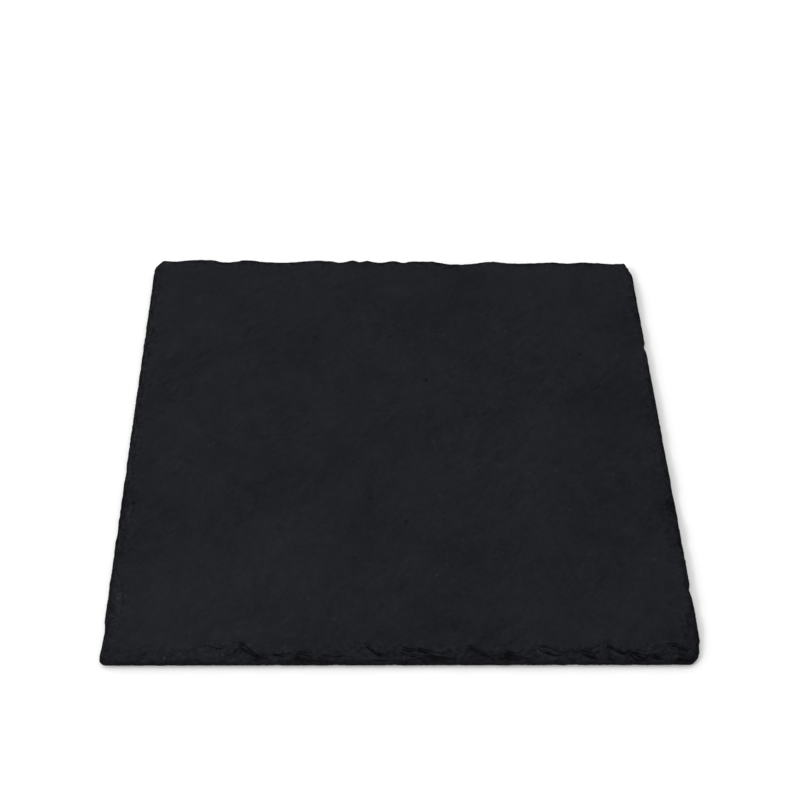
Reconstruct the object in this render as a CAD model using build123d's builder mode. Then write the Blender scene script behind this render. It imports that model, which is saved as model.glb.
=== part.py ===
from build123d import *
import math
import os
import random
from dataclasses import dataclass

# A square slab of natural slate, hand-dressed round its edges, lying on four stick-on pads.
# Millimetres, +Z up. The origin is on the surface the slab rests on, under its middle; -Y is the front.

# ---- Driving dimensions ----------------------------------------------------------------------
SIDE = 300.0  # the slab's widest outline, each way
LAMINAE = (1.6, 1.0, 0.9, 0.8, 0.7, 0.5)  # cleavage layers, lowest first
LEAN = (0.0, 0.3, 0.7, 1.2, 1.8, 2.4)  # how far each layer's edge stands back from the outline
PAD_DIAMETER = 12.0
PAD_HEIGHT = 2.0
PAD_BULGE = 0.15  # the pad's side swells this much under the slab's weight
PAD_ROUND = 0.4  # of its lower rim
ADHESIVE_HEIGHT = 0.2
PAD_SETBACK = 25.0  # from the outline to a pad's centre

# ---- Worked-out dimensions -------------------------------------------------------------------
HALF = SIDE / 2
UNDERSIDE = PAD_HEIGHT + ADHESIVE_HEIGHT
TOP_LEVEL = len(LAMINAE) - 1

# ---- How the edge is broken ------------------------------------------------------------------
POINT_PITCH = 2.5  # along an edge
LEAST_STEP = 0.15  # each layer stands back at least this far from the one below
CORNER_POINTS = 5
CORNER_GROWTH = 1.4  # a layer's corner is cut back this many times its lean
STAIR = 0.12  # share of a scar's bite that its lowest layer is short of
MARK_PITCH = (7.0, 15.0)  # between the dresser's small hammer marks
MARK_RUN = (3.0, 8.0)
MARK_BITE = (0.4, 1.8)
RIPPLE_SHARES = (0.5, 0.3, 0.2)  # how a ripple's height is shared between its waves
RIPPLE_LENGTH = (9.0, 34.0)
RIPPLE_GROWTH = 0.25  # each layer up ripples this much more than the lowest
SEED = 11


@dataclass
class Scar:
    """What a flake leaves where it is struck off an edge. It bites deepest at one place along the
    edge's own axis, runs out before and after that, and breaks every layer from floor up. On its
    shorter side the layers break off together, and on its longer side one after another."""

    at: float
    before: float
    after: float
    bite: float
    floor: int

    def depth(self, level, place, shape):
        """How far in the layer is broken at a place: straight-sided at shape 1, a scallop at 2."""
        if level < self.floor:
            return 0.0
        share = (level - self.floor + 1) / (TOP_LEVEL - self.floor + 1)
        run = self.before if place < self.at else self.after
        if run == max(self.before, self.after):
            run *= share
        inside = max(0.0, 1 - (abs(place - self.at) / run) ** shape)
        return self.bite * (1 - STAIR * (1 - share)) * inside


@dataclass
class Edge:
    """One side of the slab, with the corner at the end of its outline. The corner is the cut along
    this edge, the cut along the next edge, and a roundness from 0 (straight) to 1 (an ellipse)."""

    outward: Vector
    along: Vector  # the way its outline is drawn
    scars: list
    shape: float  # of its scars
    steepness: float  # 0 leans as LEAN says, 1 is upright
    ripple: float  # height of the outline's small waves
    marks: float  # how deep the dresser's hammer marks are, as a share of MARK_BITE
    corner: tuple

    @property
    def sign(self):
        return 1 if self.along.X + self.along.Y > 0 else -1

    def lean(self, level):
        return LEAN[level] * (1 - self.steepness)


# Long slanting flakes on the front, shallow scallops on the back, small bites on the sides.
FRONT = [
    Scar(-96, 14, 11, 6.2, 5),
    Scar(-81, 16, 9, 7.6, 3),
    Scar(-54, 3, 14, 2.6, 3),
    Scar(-19, 12, 7, 7.2, 4),
    Scar(-1, 10, 12, 4.8, 3),
    Scar(7, 9, 14, 4.6, 4),
    Scar(12, 12, 8, 2.0, 1),
    Scar(33, 13, 8, 5.0, 3),
    Scar(50, 4, 6, 2.2, 2),
    Scar(66, 6, 17, 5.2, 4),
    Scar(87, 9, 18, 4.2, 3),
    Scar(101, 15, 9, 6.8, 4),
    Scar(113, 5, 10, 3.4, 2),
    Scar(134, 18, 12, 7.4, 4),
]
BACK = [
    Scar(-138, 10, 9, 1.6, 0),
    Scar(-104, 9, 10, 2.2, 0),
    Scar(-71, 19, 21, 2.2, 0),
    Scar(-34, 7, 7, 1.9, 0),
    Scar(-22, 3, 4, 1.4, 0),
    Scar(-9, 7, 6, 1.7, 0),
    Scar(6, 5, 4, 1.5, 0),
    Scar(38, 14, 22, 2.8, 0),
    Scar(82, 22, 17, 1.6, 0),
    Scar(109, 7, 8, 1.3, 0),
    Scar(139, 14, 14, 1.6, 0),
]
LEFT = [
    Scar(-128, 16, 18, 0.9, 0),
    Scar(-118, 20, 26, 6.0, 4),
    Scar(-52, 14, 11, 4.5, 4),
    Scar(4, 7, 6, 1.6, 2),
    Scar(46, 9, 10, 1.8, 3),
    Scar(86, 13, 12, 2.2, 4),
    Scar(124, 14, 12, 2.6, 4),
]
RIGHT = [
    Scar(-140, 14, 14, 1.8, 0),
    Scar(-134, 12, 16, 5.0, 4),
    Scar(-104, 6, 7, 1.2, 0),
    Scar(-52, 13, 11, 4.0, 3),
    Scar(-10, 8, 11, 1.8, 3),
    Scar(74, 7, 6, 1.2, 0),
    Scar(100, 9, 9, 2.6, 4),
]

FRONT_EDGE = Edge(
    outward=Vector(0, -1),
    along=Vector(1, 0),
    scars=FRONT,
    shape=1.0,
    steepness=0.0,
    ripple=0.25,
    marks=1.0,
    corner=(7.5, 9.0, 0.8),
)
RIGHT_EDGE = Edge(
    outward=Vector(1, 0),
    along=Vector(0, 1),
    scars=RIGHT,
    shape=1.6,
    steepness=0.4,
    ripple=0.45,
    marks=1.0,
    corner=(11.0, 3.0, 0.3),
)
BACK_EDGE = Edge(
    outward=Vector(0, 1),
    along=Vector(-1, 0),
    scars=BACK,
    shape=2.2,
    steepness=0.85,
    ripple=0.25,
    marks=0.35,
    corner=(4.5, 7.0, 0.2),
)
LEFT_EDGE = Edge(
    outward=Vector(-1, 0),
    along=Vector(0, -1),
    scars=LEFT,
    shape=1.6,
    steepness=0.4,
    ripple=0.45,
    marks=1.0,
    corner=(4.0, 4.0, 1.0),
)
EDGES = [FRONT_EDGE, RIGHT_EDGE, BACK_EDGE, LEFT_EDGE]  # counter-clockwise, as the outline is drawn

rng = random.Random(SEED)


def hammer_marks(share):
    """Small scars a centimetre or so apart, most of them only through the upper layers."""
    marks = []
    place = -HALF + rng.uniform(*MARK_PITCH)
    while place < HALF - MARK_PITCH[0]:
        before, after = rng.uniform(*MARK_RUN), rng.uniform(*MARK_RUN)
        bite = share * rng.uniform(*MARK_BITE)
        marks.append(Scar(place, before, after, bite, rng.randint(1, TOP_LEVEL)))
        place += rng.uniform(*MARK_PITCH)
    return marks


def ripple_waves(height):
    """Waves as (height, length, phase)."""
    return [
        (height * share, rng.uniform(*RIPPLE_LENGTH), rng.uniform(0, math.pi))
        for share in RIPPLE_SHARES
    ]


def ripple(waves, place):
    """Cusped waves added up: a row of shallow scallops with sharp points between them."""
    return sum(
        height * abs(math.sin(math.pi * place / length + phase))
        for height, length, phase in waves
    )


def edge_insets(edge, places):
    """How far each layer's broken edge stands in from the square's side. places holds one row of
    places along the edge for each layer, lowest first."""
    scars = edge.scars + hammer_marks(edge.marks)
    insets = []
    for level, row in enumerate(places):
        waves = ripple_waves(edge.ripple * (1 + RIPPLE_GROWTH * level))
        broken = [max(s.depth(level, p, edge.shape) for s in scars) for p in row]
        raw = [edge.lean(level) + ripple(waves, p) + depth for p, depth in zip(row, broken)]
        if insets:
            raw = [max(value, below + LEAST_STEP) for value, below in zip(raw, insets[-1])]
        else:
            raw = [value - min(raw) for value in raw]
        insets.append(raw)
    return insets


def edge_runs(edge, previous, following):
    """The points of each layer's edge, in the order its outline is drawn, lowest layer first."""
    steps = round(SIDE / POINT_PITCH)
    alongs = []
    for level in range(len(LEAN)):
        start = -HALF + previous.corner[1] + CORNER_GROWTH * previous.lean(level)
        end = HALF - edge.corner[0] - CORNER_GROWTH * following.lean(level)
        alongs.append([start + (end - start) * i / (steps - 1) for i in range(steps)])
    insets = edge_insets(edge, [[edge.sign * along for along in row] for row in alongs])
    return [
        [edge.along * along + edge.outward * (HALF - inset) for along, inset in zip(row, layer)]
        for row, layer in zip(alongs, insets)
    ]


def corner_points(last, first, edge, roundness):
    """The points strictly between the end of one edge and the start of the next."""
    centre = edge.along * last.dot(edge.along) + edge.outward * first.dot(edge.outward)
    points = []
    for i in range(1, CORNER_POINTS):
        turn = math.pi / 2 * i / CORNER_POINTS
        on_curve = centre + (first - centre) * math.sin(turn) + (last - centre) * math.cos(turn)
        on_cut = last + (first - last) * (i / CORNER_POINTS)
        points.append(on_cut + (on_curve - on_cut) * roundness)
    return points


def layer_outlines():
    """The closed outline of each cleavage layer, lowest first."""
    previous_edges = EDGES[-1:] + EDGES[:-1]
    following_edges = EDGES[1:] + EDGES[:1]
    runs_by_edge = [edge_runs(*edges) for edges in zip(EDGES, previous_edges, following_edges)]
    outlines = []
    for runs in zip(*runs_by_edge):
        outline = []
        for edge, run, following in zip(EDGES, runs, runs[1:] + runs[:1]):
            outline += run + corner_points(run[-1], following[0], edge, edge.corner[2])
        outlines.append(outline)
    return outlines


def make_slab():
    """Six cleavage layers, each one broken back a little further than the one under it."""
    with BuildPart() as slab:
        height = UNDERSIDE
        for layer, outline in zip(LAMINAE, layer_outlines()):
            with BuildSketch(Plane.XY.offset(height)):
                with BuildLine():
                    Polyline(*[(p.X, p.Y) for p in outline], close=True)
                make_face()
            extrude(amount=layer)
            height += layer
    return slab.part


def make_pad(centre):
    """A die-cut disc of rubber, a little barrel-shaped under load, with its lower rim rounded."""
    radius = PAD_DIAMETER / 2
    with BuildPart() as pad:
        with BuildSketch(Plane(origin=centre, x_dir=(1, 0, 0), z_dir=(0, -1, 0))):
            with BuildLine():
                Line((0, 0), (radius, 0))
                ThreePointArc((radius, 0), (radius + PAD_BULGE, PAD_HEIGHT / 2), (radius, PAD_HEIGHT))
                Line((radius, PAD_HEIGHT), (0, PAD_HEIGHT))
                Line((0, PAD_HEIGHT), (0, 0))
            make_face()
        revolve(axis=Axis(centre, (0, 0, 1)))
        rims = pad.edges().filter_by(GeomType.CIRCLE).sort_by(Axis.Z)
        fillet(rims[0], radius=PAD_ROUND)
    return pad.part


def make_adhesive(centre):
    """The disc of double-sided film that holds a pad to the stone."""
    with BuildPart() as adhesive:
        with BuildSketch(Plane.XY.offset(PAD_HEIGHT)):
            with Locations((centre.X, centre.Y)):
                Circle(PAD_DIAMETER / 2)
        extrude(amount=ADHESIVE_HEIGHT)
    return adhesive.part


def save(part, name):
    part.label = name
    export_step(part, f"parts/{name}.step")
    print(f"{name:28s} volume {part.volume:12.1f} mm3")


os.makedirs("parts", exist_ok=True)
save(make_slab(), "slate_slab")
reach = HALF - PAD_SETBACK
for row, y in (("front", -reach), ("rear", reach)):
    for column, x in (("left", -reach), ("right", reach)):
        save(make_pad(Vector(x, y, 0)), f"foot_pad_{row}_{column}")
        save(make_adhesive(Vector(x, y, 0)), f"adhesive_disc_{row}_{column}")
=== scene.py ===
import math

import bpy
import numpy as np
from mathutils import Matrix, Vector, noise


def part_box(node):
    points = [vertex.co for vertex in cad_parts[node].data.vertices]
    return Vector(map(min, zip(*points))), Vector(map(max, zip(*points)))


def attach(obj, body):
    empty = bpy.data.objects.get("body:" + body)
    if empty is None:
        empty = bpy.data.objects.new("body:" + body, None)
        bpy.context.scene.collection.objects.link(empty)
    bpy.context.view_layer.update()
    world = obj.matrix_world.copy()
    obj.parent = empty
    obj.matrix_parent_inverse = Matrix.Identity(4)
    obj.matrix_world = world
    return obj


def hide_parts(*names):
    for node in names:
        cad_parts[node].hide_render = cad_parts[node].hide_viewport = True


# A square board of black riven slate with hand-dressed edges, on four rubber pads.
# Lengths are millimetres in the row frame until a mesh is written, and metres from there on.

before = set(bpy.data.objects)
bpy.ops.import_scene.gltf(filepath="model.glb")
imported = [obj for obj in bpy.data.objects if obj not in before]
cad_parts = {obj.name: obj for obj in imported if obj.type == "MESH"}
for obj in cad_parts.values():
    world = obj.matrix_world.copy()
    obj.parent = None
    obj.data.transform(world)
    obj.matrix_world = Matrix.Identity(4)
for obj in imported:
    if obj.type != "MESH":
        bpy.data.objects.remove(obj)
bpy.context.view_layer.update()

MM = 0.001
SLAB = "slate_slab"
PIECE = "riven_slate_slab"

# ---- The mesh's layout -------------------------------------------------------------------------
CORE = 135.0  # half the side of the flat square that the broken border runs round
BAND = 3.0  # the flat caps reach this far out past the core
EDGE_STEPS = 390  # fine steps along one side of the core
CORNER_STEPS = 36  # fine steps round one corner
TOP_RATIO = 3  # fine steps to one step of the top's grid
UNDER_RATIO = 6  # and of the underside's grid
SPLITS = 2  # laminae that each CAD layer is split into
MEETING = 1e-5  # rings meet where their points are nearer than this
TOP_RINGS = (0.05, 0.14, 0.28, 0.5, 0.75)  # of the way from the top's broken rim to its grid
SHARP = math.radians(48)  # an edge that turns more than this isn't smoothed

# ---- The laminae's rims ------------------------------------------------------------------------
FOOT, TOP = (round(corner[2] / MM, 2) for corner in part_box(SLAB))  # heights of the slab's faces
GRAIN_ANGLE = math.radians(50)  # of the cleavage's lineation, from +X
GAP = 0.05  # least step back from one lamina to the next
LAST_STEP = 1.2  # how far the laminae of the top layer may stand back inside its outline
DRIFT_WAVE = 11.0  # along an edge, between a lamina that stands out and one that stands back
RAGGED = 0.25  # how far a lamina's rim wanders
RAGGED_WAVE = 5.0
FRAY = 0.12  # and its finest teeth
FRAY_WAVE = 1.4
FOOT_RAGGED = 0.35  # share of that wandering in the lowest layer, which keeps the outline's size
UNDER_STEP = 0.5  # how far the underside's rim stands in

# ---- The torn edges ----------------------------------------------------------------------------
CLOSE = 0.9  # laminae whose rims are nearer than this read as one wall
LIP = 0.55  # thickness of the overhanging stone over the full hollow
DEEPEST = 1.7  # hollow under a lip
CLIMB = (0.06, 0.32)  # a rim that turns outward this steeply is feathered out, or fully crisp
CLIMB_SPAN = 2  # fine steps each way that the climb is averaged over
TRAIL = 9  # fine steps that a crisp edge runs on for, past the side of its scar
CHANCE = 0.5  # crispness of the rare stretches that are torn by chance, away from any scar's side
CRISP_FROM = (1, 3)  # laminae from the foot over which torn edges set in
CRACK = (1.1, 2.0)  # depth below the lip over which a hollow closes again
TREAD = 0.35  # a crack's painted shade ends this far outside the lip over it
SIDE_FEATHER = 0.75  # how far the left and right edges are feathered out instead of crisp
CALM_END = (-102, -82)  # left of here the edges are feathered out too
FEATHER = 0.92  # share of a lamina's face that is lost where it is feathered out
BATTER = 0.18  # share of its height that a lamina's face leans back

# ---- The surface -------------------------------------------------------------------------------
BRUISE = 0.22  # how far the top rounds down at its rim
BRUISE_WIDTH = 1.8
CRISP_KEEPS = 0.7  # share of that rounding which a crisp rim is spared
CHIPPED = 0.5  # depth of the shallow chips along the top's rim
CHIPPED_WIDTH = 4.0
CHIP_WAVES = (6.0, 2.4)
HACKLE = 0.35  # height of the fracture's facets
FACET_WAVES = ((3.6, 3.6, 1.6), (1.8, 1.8, 0.9))
ROUGH = 0.08  # and of its finest grain
ROUGH_WAVE = (1.2, 1.2, 0.7)
FLATTENED = (1, 1, 0.6)  # that grain is weaker up and down
SWELL = 0.25  # height of the top's long swells
SWELL_WAVES = ((80, 60), (34, 24))  # along the lineation and across it
RIVEN = 0.05  # height of its grain
RIVEN_WAVES = ((15, 9), (7, 4.5))
LEDGE = 0.05  # height of the thin ledges where the cleavage changes level
LEVEL_WAVES = ((110, 60), (14, 9))
LEDGE_LEVELS = (-0.25, 0.05, 0.3)
LIFT = 0.06  # the relief is raised by this, and cut off flat where it would pass the CAD's face
PAD_FLAT = 9.0  # the underside is flat this far round a pad's centre

# ---- How broken the stone reads, from 0 on the riven top to 1 on a fresh deep fracture, plus painted shade ---
# The same value darkens the colour as painted shade: on walls under standing stone, towards the
# walls' foot, on crisp torn edges and at the top's rim.
UNDER_BROKEN = 0.6
TREAD_BROKEN = 0.4  # on a lamina's upper side, and where it feathers out
CRISP_BROKEN = 0.5  # added where it is crisp: fresher fracture, and painted shade on the torn edge
RIM_BROKEN = 0.6  # at the top's rim: broken stone, and painted shade that darkens the rim
DEEP_WALL = (1.0, 4.0)  # stone standing over a face, from lit to fully dark
WALL_LIGHT = 0.85  # how much less broken a wall reads at the slab's top than at its foot: painted shade, darker towards the foot
SIDE_RIM_SHADE = (1.8, 0.9)  # how dark the painted shade along the sides is, and how far in it fades
BACK_RIM_SHADE = (1.0, 3.4)
RIM_SHADE_REACH = 0.7  # the painted shade is full this far in from the outline
RIM_SHADE_TURN = (-0.9, -0.3)  # the outward Y over which it sets in: the front edge has none
RIM_SHADE_WAVE = 5.0
RIM_SHADE_PATCHES = (-0.5, 0.4)  # of the noise, from no painted shade to full
SIDE_COVER = 0.4  # how much less patchy it is on the sides

# ---- The noise's seeds -------------------------------------------------------------------------
TOP_SEED = 3
UNDER_SEED = 31
SCALLOP_SEED = 40
FACET_SEED = 70
TEETH_SEED = 80
SHAKE_SEED = 90
TORN_SEED = 160
CHANCE_SEED = 200
CHIP_SEED = 300
RIM_SHADE_SEED = 310


def noise_at(points, wavelength, seed):
    """Smooth noise from -1 to 1 at rows of points, with one wavelength for each axis."""
    scaled = points / np.array(wavelength, float) + seed * 17.31
    return np.array([noise.noise(p) for p in scaled.tolist()])


def plan_noise(flat, wavelength, seed, height=0.0):
    """Noise at plan points, with one wavelength or one for each axis."""
    return noise_at(raised(flat, height), (*np.broadcast_to(wavelength, 2), 1), seed)


def smooth(low, high, value):
    t = np.clip((value - low) / (high - low), 0, 1)
    return t * t * (3 - 2 * t)


def raised(flat, height):
    """Plan points with a height, or with one for each."""
    return np.column_stack([flat, np.broadcast_to(height, len(flat))])


# ---- What the CAD says -------------------------------------------------------------------------
def cad_layers():
    """Each cleavage layer of the CAD slab, lowest first: its foot, its top, and the wall segments of
    its outline at its foot."""
    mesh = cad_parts[SLAB].data
    points = np.array([v.co for v in mesh.vertices]) / MM
    heights = sorted({round(z, 2) for z in points[:, 2]})
    walls = {height: [] for height in heights[:-1]}
    for face in mesh.polygons:
        corners = points[list(face.vertices)]
        if abs(face.normal.z) > 0.5:
            continue
        foot = round(corners[:, 2].min(), 2)
        at_foot = corners[np.abs(corners[:, 2] - foot) < 0.01]
        if len(at_foot) == 2:
            walls[foot].append(at_foot[:, :2])
    return [(foot, top, np.array(walls[foot])) for foot, top in zip(heights, heights[1:])]


def pad_centres():
    pads = [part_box(name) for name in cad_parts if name.startswith("foot_pad")]
    return [np.array(((low + high) / 2)[:2]) / MM for low, high in pads]


def perimeter():
    """Points round the core square and the way outward at each, in fine steps, counter-clockwise
    from the front left. At a corner the point stays and the way turns."""
    starts, ways = [], []
    for side in range(4):
        turn = side * math.pi / 2
        along = np.array([math.cos(turn), math.sin(turn)])
        outward = np.array([math.sin(turn), -math.cos(turn)])
        for i in range(EDGE_STEPS):
            starts.append(outward * CORE + along * CORE * (2 * i / EDGE_STEPS - 1))
            ways.append(outward)
        for i in range(CORNER_STEPS):
            swing = math.pi / 2 * i / CORNER_STEPS
            starts.append((outward + along) * CORE)
            ways.append(outward * math.cos(swing) + along * math.sin(swing))
    return np.array(starts), np.array(ways)


STARTS, WAYS = perimeter()
PAD_CENTRES = pad_centres()


def out(rim):
    """Plan points all the way round, each this far out from the core."""
    return STARTS + WAYS * rim[:, None]


def reach(segments):
    """How far each way outward runs before it leaves an outline given as segments."""
    a, b = segments[:, 0], segments[:, 1]
    side = b - a
    best = np.zeros(len(STARTS))
    for i, (start, way) in enumerate(zip(STARTS, WAYS)):
        cross = way[0] * side[:, 1] - way[1] * side[:, 0]
        cross[np.abs(cross) < 1e-12] = 1e-12
        offset = a - start
        along_ray = (offset[:, 0] * side[:, 1] - offset[:, 1] * side[:, 0]) / cross
        along_side = (offset[:, 0] * way[1] - offset[:, 1] * way[0]) / cross
        hits = along_ray[(along_side >= -1e-6) & (along_side <= 1 + 1e-6)]
        best[i] = hits.max()
    return best


# ---- The riven faces ---------------------------------------------------------------------------
def along_grain(flat):
    """Plan points turned so that the first axis runs along the lineation."""
    c, s = math.cos(GRAIN_ANGLE), math.sin(GRAIN_ANGLE)
    return np.stack([flat[:, 0] * c + flat[:, 1] * s, flat[:, 1] * c - flat[:, 0] * s], 1)


def coarse_and_fine(flat, waves, share, seed):
    """Noise of a long wavelength, plus a share of a shorter one."""
    return plan_noise(flat, waves[0], seed) + share * plan_noise(flat, waves[1], seed + 1)


def relief(flat, seed):
    """How far a riven face lies inside the plane that its highest places touch."""
    turned = along_grain(flat)
    swell = coarse_and_fine(turned, SWELL_WAVES, 0.4, seed)
    grain = coarse_and_fine(turned, RIVEN_WAVES, 0.6, seed + 2)
    level = coarse_and_fine(turned, LEVEL_WAVES, 0.25, seed + 4)
    ledges = sum(smooth(edge, edge + 0.05, level) for edge in LEDGE_LEVELS)
    depth = SWELL * (swell + 1) / 2 + RIVEN * (grain + 1) / 2 + LEDGE * ledges
    return np.maximum(depth - LIFT, 0)


def top_height(flat):
    return TOP - relief(flat, TOP_SEED)


def under_height(flat):
    away = np.min([np.linalg.norm(flat - centre, axis=1) for centre in PAD_CENTRES], axis=0)
    return FOOT + relief(flat, UNDER_SEED) * smooth(PAD_FLAT, 3 * PAD_FLAT, away)


def carried(flat, height):
    """A height in the stone, carried down with the riven top above it."""
    share = (height - FOOT) / (TOP - FOOT)
    return FOOT + (top_height(flat) - FOOT) * share


# ---- The laminae -------------------------------------------------------------------------------
def lamina_levels(layers):
    """Heights that part the laminae, from the slab's foot to its top."""
    levels = []
    for low, high, _ in layers:
        levels += [low + (high - low) * part / SPLITS for part in range(SPLITS)]
    return [*levels, TOP]


def lamina_rims(reaches):
    """Splits the CAD layers into laminae with ragged rims of their own, each inside the one below."""
    rims = []
    for layer, outer in enumerate(reaches):
        inner = reaches[layer + 1] if layer + 1 < len(reaches) else outer - LAST_STEP
        for part in range(SPLITS):
            seed = layer * SPLITS + part + 1
            at, height = out(outer), seed * 7.0
            drift = np.clip(0.5 + 0.9 * plan_noise(at, DRIFT_WAVE, seed, height), 0, 1)
            scallop = np.abs(plan_noise(at, RAGGED_WAVE, seed + SCALLOP_SEED, height)) * 2 - 0.4
            teeth = plan_noise(at, FRAY_WAVE, seed + TEETH_SEED, height)
            strength = FOOT_RAGGED if layer == 0 else 1.0
            rim = outer - (outer - inner) * drift * part / SPLITS
            rim = rim - strength * (RAGGED * scallop + FRAY * teeth)
            rims.append(np.minimum(rim, rims[-1] - GAP) if rims else np.minimum(rim, outer))
    return rims


def crispness(outline, number):
    """How crisp a lamina's edge is: 1 where the flake above was torn off and left an overhang, at the
    side of a scar that turns outward, and 0 where the flake ran out in a feather."""
    at = out(outline)
    step = np.linalg.norm(np.roll(at, -1, 0) - np.roll(at, 1, 0), axis=1)
    climb = (np.roll(outline, -1) - np.roll(outline, 1)) / step
    window = range(-CLIMB_SPAN, CLIMB_SPAN + 1)
    climb = np.mean([np.roll(climb, shift) for shift in window], axis=0)
    torn = smooth(*CLIMB, climb)
    torn = np.max([np.roll(torn, shift) * (1 - shift / TRAIL) for shift in range(TRAIL)], axis=0)
    torn = torn * smooth(-0.5, 0.0, plan_noise(at, 10, number + TORN_SEED, number * 5.0))
    chance = smooth(0.3, 0.6, plan_noise(at, 16, number + CHANCE_SEED, number * 5.0))
    crisp = np.maximum(torn, CHANCE * chance)
    crisp = crisp * smooth(*CRISP_FROM, number) * (1 - SIDE_FEATHER * WAYS[:, 0] ** 2)
    return crisp * smooth(*CALM_END, STARTS[:, 0])


def hollow_under(above):
    """How deep the crack under a lip is, from 0 to 1, below this much stone. It also sets the crack's
    painted shade.
    """
    return smooth(0, LIP, above) * (1 - smooth(*CRACK, above))


def stone_above(rims, thick, number):
    """Height of the laminae over this one whose rims stand close to its own."""
    above = np.zeros(len(rims[number]))
    for rim, height in zip(rims[number + 1:], thick[number + 1:]):
        above = above + smooth(CLOSE, CLOSE / 3, rims[number] - rim) * height
    return above


def grime_round(rims):
    """The painted shade at the outline all the way round: how dark it is, how far in it fades, and
    how far out from the core that fading starts."""
    behind = np.maximum(WAYS[:, 1], 0)
    dark, fade = (side + (back - side) * behind for side, back in zip(SIDE_RIM_SHADE, BACK_RIM_SHADE))
    cover = plan_noise(out(rims[0]), RIM_SHADE_WAVE, RIM_SHADE_SEED) + SIDE_COVER * (1 - behind)
    dark = dark * smooth(*RIM_SHADE_TURN, WAYS[:, 1]) * smooth(*RIM_SHADE_PATCHES, cover)
    return dark, fade, rims[0] - np.minimum((rims[0] - rims[-1]) / 2, RIM_SHADE_REACH)


# ---- The slab's mesh ---------------------------------------------------------------------------
class SlabMesh:
    """Vertices, faces, and at each vertex how broken the stone is and how deep it lies in a hollow,
    gathered row by row. The material paints shade by both."""

    def __init__(self, grime):
        self.points, self.broken, self.hollow, self.faces = [], [], [], []
        self.rings = []
        self.count = 0
        self.grime, self.grime_fade, self.grime_end = grime

    def add_points(self, points, broken, hollow):
        ids = np.arange(self.count, self.count + len(points))
        self.points.append(points)
        self.broken.append(np.broadcast_to(broken, len(points)))
        self.hollow.append(np.broadcast_to(hollow, len(points)))
        self.count += len(points)
        return ids

    def add_ring(self, rim, height, broken, hollow=0.0, rough=1.0):
        """A ring of points round the border. The fracture's facets push it in, its grain shakes it,
        and painted shade darkens it near the outline."""
        grime = self.grime * np.exp(np.minimum(rim - self.grime_end, 0) / self.grime_fade)
        rough = np.broadcast_to(rough, len(rim))
        flat = out(rim)
        points = raised(flat, carried(flat, height))
        facets = np.abs(noise_at(points, FACET_WAVES[0], FACET_SEED))
        facets = facets + 0.5 * np.abs(noise_at(points, FACET_WAVES[1], FACET_SEED + 1))
        points[:, :2] -= WAYS * (facets * HACKLE * rough)[:, None]
        shake = [noise_at(points, ROUGH_WAVE, SHAKE_SEED + axis) for axis in range(3)]
        points = points + np.column_stack(shake) * ROUGH * np.outer(rough, FLATTENED)
        self.rings.append(self.add_points(points, broken + grime, hollow))

    def bridge(self, lower, upper):
        """Faces between two closed rings of the same length, facing outward: quads, and triangles or
        nothing where the rings meet."""
        points = np.concatenate(self.points)
        apart = np.abs(points[lower] - points[upper]).max(axis=1) > MEETING
        corners = np.column_stack([lower, np.roll(lower, -1), np.roll(upper, -1), upper]).tolist()
        for row, near, far in zip(corners, apart.tolist(), np.roll(apart, -1).tolist()):
            if near or far:
                self.faces.append((*row[:2], *row[2:3] * far, *row[3:] * near))

    def add_faces(self, rows, up):
        """Faces given counter-clockwise from above, turned over on the underside."""
        self.faces += [tuple(row if up else row[::-1]) for row in rows]

    def coarsen(self, fine, coarse, ratio, up):
        """Triangles from a fine ring in to one with fewer points, one for each ratio of them."""
        middle = ratio // 2
        for i, near in enumerate(coarse.tolist()):
            far = int(coarse[(i + 1) % len(coarse)])
            run = [int(fine[(i * ratio + j) % len(fine)]) for j in range(ratio + 1)]
            fans = [(run[j], run[j + 1], near) for j in range(middle)]
            fans += [(run[j], run[j + 1], far) for j in range(middle, ratio)]
            fans.append((run[middle], far, near))
            self.add_faces(fans, up)

    def cap(self, fine, ratio, height, up):
        """Closes a face of the slab: a coarse ring one band out from the core, and a grid in it."""
        flat = (STARTS + WAYS * BAND)[::ratio]
        coarse = self.add_points(raised(flat, height(flat)), 0.0, 0.0)
        self.coarsen(fine, coarse, ratio, up)

        cells = EDGE_STEPS // ratio
        line = np.linspace(-CORE, CORE, cells + 1)
        x, y = np.meshgrid(line, line)
        flat = np.column_stack([x.ravel(), y.ravel()])
        grid = self.add_points(raised(flat, height(flat)), 0.0, 0.0).reshape(x.shape)

        sides = [grid[0, :], grid[:, -1], grid[-1, ::-1], grid[::-1, 0]]
        corner = CORNER_STEPS // ratio
        rim = np.concatenate([[*side[:-1], *[side[-1]] * corner] for side in sides])
        rows = []
        for i in range(len(rim)):
            following = (i + 1) % len(rim)
            face = [coarse[i], coarse[following], rim[following], rim[i]]
            rows.append(face[:3] if rim[i] == rim[following] else face)
        quads = np.stack([grid[:-1, :-1], grid[:-1, 1:], grid[1:, 1:], grid[1:, :-1]], -1)
        self.add_faces(rows + quads.reshape(-1, 4).tolist(), up)

    def piece(self):
        """The Blender object, with the two attributes that the slate's material reads."""
        mesh = bpy.data.meshes.new(PIECE)
        mesh.from_pydata((np.concatenate(self.points) * MM).tolist(), [], self.faces)
        for name, values in (("broken", self.broken), ("hollow", self.hollow)):
            attribute = mesh.attributes.new(name, "FLOAT", "POINT")
            attribute.data.foreach_set("value", np.concatenate(values).astype(np.float32))
        mesh.shade_smooth()
        mesh.set_sharp_from_angle(angle=SHARP)
        made = bpy.data.objects.new(PIECE, mesh)
        bpy.context.scene.collection.objects.link(made)
        return made


def add_under_rim(slab, rim):
    flat = out(rim - UNDER_STEP)
    slab.rings.append(slab.add_points(raised(flat, under_height(flat)), UNDER_BROKEN, 0.0))


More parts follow.
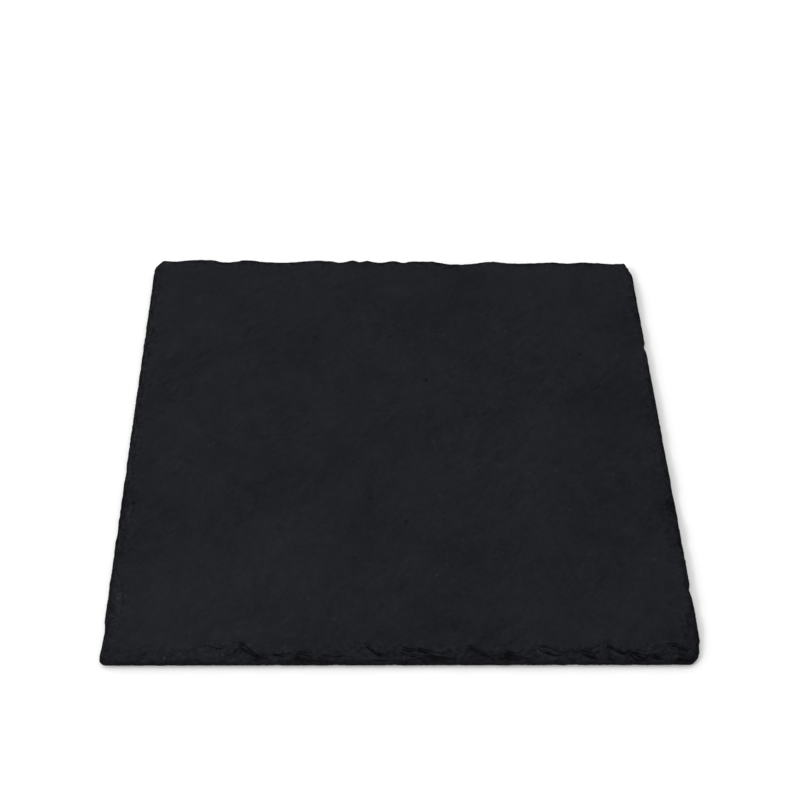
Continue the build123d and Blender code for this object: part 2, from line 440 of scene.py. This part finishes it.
def add_laminae(slab, reaches, rims, levels):
    """Rings for each lamina: its foot and its crest, and outside its foot the tread that it leaves on
    the lamina below. Returns the top one's crispness and lip."""
    thick = np.diff(levels)
    for number, rim in enumerate(rims):
        low, high = levels[number], levels[number + 1]
        crisp = crispness(reaches[number // SPLITS], number)
        above = stone_above(rims, thick, number)
        foot_hollow = crisp * hollow_under(above + thick[number])
        crest_hollow = crisp * hollow_under(above)
        foot_rim = rim - foot_hollow * DEEPEST
        if number:
            tread_rim = np.clip(rim + TREAD, *np.sort([foot_rim, crest_rim], axis=0))
            width = crest_rim - foot_rim
            fall = crest_drop * (tread_rim - foot_rim) / np.where(width == 0, 1, width)
            slab.add_ring(tread_rim, low - fall, max(TREAD_BROKEN, low_down))
        lip = rim - BATTER * thick[number]
        crest_rim = lip - crest_hollow * DEEPEST
        crest_drop = FEATHER * thick[number] * (1 - crisp)
        low_down = 1.0 - WALL_LIGHT * (low - FOOT) / (TOP - FOOT)
        # How broken the stone is, with painted shade under standing stone and towards the walls'
        # foot.
        fracture_and_shade = np.maximum(TREAD_BROKEN + CRISP_BROKEN * crisp, smooth(*DEEP_WALL, above))
        fracture_and_shade = np.maximum(fracture_and_shade, low_down)
        slab.add_ring(foot_rim, low, fracture_and_shade, foot_hollow)
        slab.add_ring(crest_rim, high - crest_drop, fracture_and_shade, crest_hollow)
    return crisp, lip


def add_top_rim(slab, crisp, lip):
    """Rings from the top's broken rim in to its grid, rounded down and chipped near the rim."""
    for share in TOP_RINGS:
        rim = lip + (BAND - lip) * share
        worn = np.exp((rim - lip) / BRUISE_WIDTH)
        border = np.exp((rim - lip) / CHIPPED_WIDTH)
        at = out(rim)
        chips = np.abs(plan_noise(at, CHIP_WAVES[0], CHIP_SEED))
        chips = chips + 0.4 * np.abs(plan_noise(at, CHIP_WAVES[1], CHIP_SEED + 1))
        drop = BRUISE * worn * (1 - CRISP_KEEPS * crisp) + CHIPPED * border * chips
        slab.add_ring(rim, TOP - drop, RIM_BROKEN * border, rough=0.5 * worn)


def build_slab():
    layers = cad_layers()
    reaches = [reach(segments) for _, _, segments in layers]
    rims = lamina_rims(reaches)
    slab = SlabMesh(grime_round(rims))
    add_under_rim(slab, rims[0])
    crisp, lip = add_laminae(slab, reaches, rims, lamina_levels(layers))
    add_top_rim(slab, crisp, lip)
    for lower, upper in zip(slab.rings, slab.rings[1:]):
        slab.bridge(lower, upper)
    slab.cap(slab.rings[-1], TOP_RATIO, top_height, up=True)
    slab.cap(slab.rings[0], UNDER_RATIO, under_height, up=False)
    return slab.piece()


# ---- Materials ---------------------------------------------------------------------------------
DARK_SLATE = (0.0016, 0.0018, 0.0030, 1)
PALE_SLATE = (0.0168, 0.0178, 0.0222, 1)
BROKEN_AND_SHADED_SLATE = (0.0021, 0.0019, 0.0034, 1)
UNLIT_SLATE = (0.0018, 0.0017, 0.0023, 1)  # painted shade in the cracks and the pits
PALE_FLECK = (0.040, 0.041, 0.044, 1)
RUBBER_TONES = ((0.012, 0.012, 0.012, 1), (0.035, 0.034, 0.033, 1))
FILM_TONES = ((0.55, 0.53, 0.46, 1), (0.72, 0.70, 0.63, 1))
FLOOR_TONE = (0.93, 0.93, 0.93, 1)

# Soft patches as (x, y, radius, lift in tone), and pits as (x, y).
# The patches are partly the board's own mottling and partly painted light and shade: lighter at the
# front left and the left border, darker along the right side.
LIGHT_AND_TONE_PATCHES = [
    (-98, -112, 60, 0.13),
    (-30, -112, 48, 0.07),
    (20, -128, 30, -0.10),
    (128, -30, 45, -0.10),
    (48, 120, 34, -0.10),
    (-146, -50, 14, -0.16),
    (-122, 76, 10, -0.10),
    (145, -52, 13, -0.20),
    (-104, -22, 12, -0.10),
    (-145, -118, 17, 0.20),
    (134, -141, 15, -0.14),
    (154, 100, 34, -0.14),
    (154, 25, 34, -0.14),
    (154, -70, 34, -0.12),
    (118, 30, 42, -0.09),
    (112, -64, 34, -0.09),
    (-58, -75, 48, 0.10),
    (-70, 66, 60, -0.05),
    (22, 92, 36, -0.09),
    (49, -133, 16, -0.09),
]
PITS = [(-31, 34), (-25, -20), (97, 46), (-24, -86), (92, -76), (-77, -50)]
PIT_RADIUS = 1.6

# ---- The slate's patterns, by wavelength -------------------------------------------------------
MOTTLE_WAVE = 48
CLOUD_WAVES = (34, 20)  # along the lineation and across it
STREAK_WAVES = (9, 3)
GRIT_WAVE = 1.6
LAYER_WAVES = (14, 14, 0.22)
CHIP_WAVE = 2.6
RAGGED_WARP = (1.5, 1.6)  # wavelength and reach
FLECK_CELL = (9, 4.5)
PIT_CELL = (15, 8)
BRUISE_CELL = (2.6, 2.6, 2.6)

GRIT_TONE = 0.7  # how much of the tone is grit, beside the mottling
BROKEN_TONES = (0.8, 4.5)  # and on broken stone its layers and chips
FLECK_SHARE = 0.26
BRUISE_SHARE = 0.45
PIT_SHARE = 0.6
BROKEN_AND_SHADE_SHARE = 0.75


class Shader:
    """A short way to write a node tree. Wavelengths are in the units of the coordinates."""

    def __init__(self, name):
        self.material = bpy.data.materials.new(name)
        self.material.use_nodes = True
        self.tree = self.material.node_tree
        self.bsdf = self.tree.nodes["Principled BSDF"]

    def node(self, kind, settings=None, **inputs):
        """A node, with its inputs by name, or by number as in _0."""
        made = self.tree.nodes.new(kind)
        for key, value in (settings or {}).items():
            setattr(made, key, value)
        for key, value in inputs.items():
            self.plug(made, key, value)
        return made

    def plug(self, node, key, value):
        socket = node.inputs[int(key[1:]) if key[0] == "_" else key.replace("_", " ")]
        if isinstance(value, bpy.types.NodeSocket):
            self.tree.links.new(value, socket)
        else:
            socket.default_value = value

    def math(self, operation, a, b, clamp=False):
        settings = {"operation": operation, "use_clamp": clamp}
        return self.node("ShaderNodeMath", settings, _0=a, _1=b).outputs[0]

    def plus(self, base, value, weight):
        """base, plus value times weight."""
        return self.math("ADD", base, self.math("MULTIPLY", value, weight))

    def centred(self, value):
        return self.math("SUBTRACT", value, 0.5)

    def vector(self, operation, **inputs):
        return self.node("ShaderNodeVectorMath", {"operation": operation}, **inputs).outputs

    def span(self, value, low, high, to_low=0.0, to_high=1.0):
        """value from low..high mapped on to_low..to_high, held at its ends."""
        return self.node(
            "ShaderNodeMapRange", {"interpolation_type": "SMOOTHSTEP"},
            _0=value, _1=low, _2=high, _3=to_low, _4=to_high,
        ).outputs[0]

    def coordinates(self):
        return self.node("ShaderNodeTexCoord").outputs["Object"]

    def attribute(self, name):
        return self.node("ShaderNodeAttribute", {"attribute_name": name}).outputs["Fac"]

    def noise(self, where, wavelength=1.0, detail=3.0, rough=0.5, distort=0.0):
        return self.node(
            "ShaderNodeTexNoise",
            Vector=where, Scale=1 / wavelength, Detail=detail, Roughness=rough, Distortion=distort,
        ).outputs["Fac"]

    def stretched(self, where, turn, wavelengths):
        """Coordinates turned about Z, with one wavelength for each axis made 1."""
        turned = self.node("ShaderNodeMapping", _0=where, Rotation=(0, 0, turn)).outputs[0]
        scale = tuple(1 / wavelength for wavelength in wavelengths)
        return self.node("ShaderNodeMapping", _0=turned, Scale=scale).outputs[0]

    def grained(self, where, along, across):
        """Coordinates in which the slate's lineation is this long and this wide."""
        return self.stretched(where, -GRAIN_ANGLE, (along, across, across))

    def near(self, where, centre, radius):
        """1 at a centre, falling smoothly to 0 at a radius."""
        away = self.vector("DISTANCE", _0=where, _1=centre)["Value"]
        return self.span(away, radius, 0.0)

    def warped(self, where, wavelength, amount):
        """Coordinates pushed about, so that what is drawn in them is ragged."""
        noisy = self.node("ShaderNodeTexNoise", Vector=where, Scale=1 / wavelength, Detail=1.0)
        push = self.vector("SUBTRACT", _0=noisy.outputs["Color"], _1=(0.5, 0.5, 0.5))[0]
        shift = self.vector("SCALE", _0=push, Scale=amount)[0]
        return self.vector("ADD", _0=where, _1=shift)[0]

    def spots(self, where, rarity, outer, inner):
        """Scattered spots of several sizes, one in some of the cells of space."""
        cells = self.node("ShaderNodeTexVoronoi", Vector=where, Scale=1.0)
        roll = self.node("ShaderNodeSeparateColor", _0=cells.outputs["Color"]).outputs
        size = self.span(roll[1], 0.0, 1.0, 0.4, 1.6)
        away = self.math("DIVIDE", cells.outputs["Distance"], size)
        there = self.math("GREATER_THAN", roll[0], rarity)
        return self.math("MULTIPLY", self.span(away, outer, inner), there)

    def mix(self, share, a, b):
        return self.node("ShaderNodeMix", {"data_type": "RGBA"}, _0=share, _6=a, _7=b).outputs[2]

    def bump(self, height, distance, strength=1.0):
        made = self.node("ShaderNodeBump", Strength=strength, Distance=distance, Height=height)
        self.plug(self.bsdf, "Normal", made.outputs[0])


def slate_pits(s, ragged):
    pit = s.spots(s.grained(ragged, *PIT_CELL), 0.8, 0.14, 0.03)
    for x, y in PITS:
        pit = s.math("MAXIMUM", pit, s.near(ragged, (x, y, TOP), PIT_RADIUS))
    return pit


def slate_tone(s, mm, broken, mottle, streaks, grit, layers, chips):
    """How pale the stone is, from 0 to 1."""
    cloudy = s.noise(s.grained(mm, *CLOUD_WAVES), detail=2.0)
    streaky = s.math("MULTIPLY", s.centred(streaks), s.span(cloudy, 0.42, 0.62, 0.2, 0.9))
    tone = s.math("ADD", s.centred(mottle), streaky)
    tone = s.plus(tone, s.centred(grit), GRIT_TONE)
    # Painted light and shade, with some of the board's own mottling.
    for x, y, radius, lift in LIGHT_AND_TONE_PATCHES:
        tone = s.plus(tone, s.near(mm, (x, y, TOP), radius), lift)
    for pattern, strength in zip((layers, chips), BROKEN_TONES):
        tone = s.plus(tone, s.centred(pattern), s.math("MULTIPLY", broken, strength))
    return s.math("ADD", tone, 0.5, clamp=True)


def slate_colour(s, tone, ragged, pit, broken, hollow):
    """The tone as a colour, with pale flecks, bruises near the rims, pits and dark broken stone. The
    darkness of the pits, the cracks, and the shaded walls, torn edges and rims is painted shade.
    """
    fleck = s.spots(s.grained(ragged, *FLECK_CELL), 0.68, 0.125, 0.035)
    bruise = s.spots(s.stretched(ragged, 0, BRUISE_CELL), 0.68, 0.24, 0.08)
    bruise = s.math("MULTIPLY", bruise, s.span(broken, 0.12, 0.5))
    colour = s.mix(tone, DARK_SLATE, PALE_SLATE)
    colour = s.mix(s.math("MULTIPLY", fleck, FLECK_SHARE), colour, PALE_FLECK)
    colour = s.mix(s.math("MULTIPLY", bruise, BRUISE_SHARE), colour, PALE_FLECK)
    # Painted shade in the pits.
    colour = s.mix(s.math("MULTIPLY", pit, PIT_SHARE), colour, UNLIT_SLATE)
    # Darker broken stone, and painted shade on the walls, torn edges and rims.
    colour = s.mix(s.span(broken, 0.3, 1.0, 0.0, BROKEN_AND_SHADE_SHARE), colour, BROKEN_AND_SHADED_SLATE)
    # Painted shade in the cracks under the lips, by the hollow's depth.
    return s.mix(s.span(hollow, 0.0, 0.3), colour, UNLIT_SLATE)


def slate_material():
    s = Shader("riven_slate")
    mm = s.node("ShaderNodeMapping", _0=s.coordinates(), Scale=(1000, 1000, 1000)).outputs[0]
    broken, hollow = s.attribute("broken"), s.attribute("hollow")

    mottle = s.noise(mm, MOTTLE_WAVE, detail=6.0, rough=1.0, distort=0.3)
    streaks = s.noise(s.grained(mm, *STREAK_WAVES), rough=0.75)
    grit = s.noise(mm, GRIT_WAVE, rough=0.8)
    layers = s.noise(s.stretched(mm, 0, LAYER_WAVES), detail=2.0, rough=0.6)
    chips = s.noise(mm, CHIP_WAVE, rough=0.85)
    ragged = s.warped(mm, *RAGGED_WARP)
    pit = slate_pits(s, ragged)

    tone = slate_tone(s, mm, broken, mottle, streaks, grit, layers, chips)
    s.plug(s.bsdf, "Base_Color", slate_colour(s, tone, ragged, pit, broken, hollow))
    s.plug(s.bsdf, "Roughness", s.span(s.math("ADD", streaks, grit), 0.7, 1.3, 0.62, 0.82))
    s.bsdf.inputs["Specular IOR Level"].default_value = 0.06

    height = s.math("MULTIPLY", streaks, 0.35)
    for pattern, weight in ((grit, 0.25), (mottle, 0.8), (pit, -0.2)):
        height = s.plus(height, pattern, weight)
    for pattern, weight in ((layers, 0.15), (chips, 0.9)):
        height = s.plus(height, s.math("MULTIPLY", pattern, broken), weight)
    s.bump(height, MM)
    return s.material


def rubber_material():
    s = Shader("black_rubber")
    where = s.coordinates()
    grain = s.noise(where, 1 / 2600, rough=0.6)
    dust = s.noise(where, 1 / 260, rough=0.6)
    s.plug(s.bsdf, "Base_Color", s.mix(s.span(dust, 0.4, 0.75), *RUBBER_TONES))
    s.plug(s.bsdf, "Roughness", s.span(grain, 0.3, 0.7, 0.55, 0.8))
    s.bump(grain, 0.1 * MM, 0.6)
    return s.material


def film_material():
    s = Shader("adhesive_film")
    cloud = s.noise(s.coordinates(), 1 / 700, rough=0.6)
    s.plug(s.bsdf, "Base_Color", s.mix(s.span(cloud, 0.3, 0.7), *FILM_TONES))
    s.plug(s.bsdf, "Roughness", s.span(cloud, 0.3, 0.7, 0.35, 0.6))
    s.bump(cloud, 0.05 * MM, 0.4)
    return s.material


def floor_material():
    s = Shader("pale_floor")
    s.bsdf.inputs["Base Color"].default_value = FLOOR_TONE
    s.bsdf.inputs["Roughness"].default_value = 0.9
    s.bsdf.inputs["Specular IOR Level"].default_value = 0.1
    return s.material


def dress(piece, material):
    piece.data.materials.clear()
    piece.data.materials.append(material)


# ---- Stage, in metres --------------------------------------------------------------------------
FLOOR_REACH = 40.0  # half its side
DOME_SIDE = (-0.8, -0.1, 1.0)  # where the dome is brightest
DOME_SPREAD = (-0.6, 1.0)  # of the cosine to that side
DOME_STRENGTH = (0.15, 1.35)
KEY_POSITION = (-2.2, -1.6, 2.4)
KEY_SIZE = 0.8
KEY_POWER = 36.0
CAMERA_POSITION = Vector((-24.1, -578.5, 634.1)) * MM
CAMERA_PITCH = math.radians(45.94)  # down
CAMERA_YAW = math.radians(2.42)  # to the right
CAMERA_ROLL = math.radians(1.96)
CAMERA_SENSOR = 36.0  # mm, as the lens
CAMERA_LENS = 68.59


def add_floor():
    size = FLOOR_REACH
    corners = [(-size, -size, 0), (size, -size, 0), (size, size, 0), (-size, size, 0)]
    mesh = bpy.data.meshes.new("floor")
    mesh.from_pydata(corners, [], [(0, 1, 2, 3)])
    floor = bpy.data.objects.new("floor", mesh)
    bpy.context.scene.collection.objects.link(floor)
    dress(floor, floor_material())


def add_key_light():
    light = bpy.data.lights.new("key", "AREA")
    light.shape = "DISK"
    light.size = KEY_SIZE
    light.energy = KEY_POWER
    lamp = bpy.data.objects.new("key", light)
    lamp.location = KEY_POSITION
    lamp.rotation_euler = (-Vector(KEY_POSITION)).to_track_quat("-Z", "Y").to_euler()
    bpy.context.scene.collection.objects.link(lamp)


def add_world():
    """A white dome, brightest on the side the window light comes from and dim on the other."""
    world = bpy.data.worlds.new("studio")
    world.use_nodes = True
    tree = world.node_tree
    background = tree.nodes["Background"]
    background.inputs["Color"].default_value = (1, 1, 1, 1)
    where = tree.nodes.new("ShaderNodeTexCoord")
    facing = tree.nodes.new("ShaderNodeVectorMath")
    facing.operation = "DOT_PRODUCT"
    facing.inputs[1].default_value = Vector(DOME_SIDE).normalized()
    strength = tree.nodes.new("ShaderNodeMapRange")
    for socket, value in enumerate((*DOME_SPREAD, *DOME_STRENGTH), start=1):
        strength.inputs[socket].default_value = value
    tree.links.new(where.outputs["Generated"], facing.inputs[0])
    tree.links.new(facing.outputs["Value"], strength.inputs[0])
    tree.links.new(strength.outputs[0], background.inputs["Strength"])
    bpy.context.scene.world = world


def add_camera():
    """Stands at the front, a little to the left, and looks down on the slab."""
    level = Vector((math.cos(CAMERA_YAW), -math.sin(CAMERA_YAW), 0))
    forward = Vector((
        math.sin(CAMERA_YAW) * math.cos(CAMERA_PITCH),
        math.cos(CAMERA_YAW) * math.cos(CAMERA_PITCH),
        -math.sin(CAMERA_PITCH),
    ))
    right = Matrix.Rotation(-CAMERA_ROLL, 3, forward) @ level
    up = right.cross(forward)
    camera = bpy.data.cameras.new("camera")
    camera.sensor_width = CAMERA_SENSOR
    camera.lens = CAMERA_LENS
    holder = bpy.data.objects.new("camera", camera)
    turned = Matrix((right, up, -forward)).transposed()
    holder.matrix_world = Matrix.Translation(CAMERA_POSITION) @ turned.to_4x4()
    bpy.context.scene.collection.objects.link(holder)
    bpy.context.scene.camera = holder


# ---- The whole ---------------------------------------------------------------------------------
PAD_SHARP = math.radians(40)

slab = build_slab()
dress(slab, slate_material())
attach(slab, "root")
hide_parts(SLAB)

rubber, film = rubber_material(), film_material()
for name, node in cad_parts.items():
    if name.startswith("foot_pad"):
        dress(node, rubber)
        node.data.shade_smooth()
        node.data.set_sharp_from_angle(angle=PAD_SHARP)
    elif name.startswith("adhesive"):
        dress(node, film)

add_floor()
add_world()
add_key_light()
add_camera()
bpy.context.scene.view_settings.view_transform = "Standard"
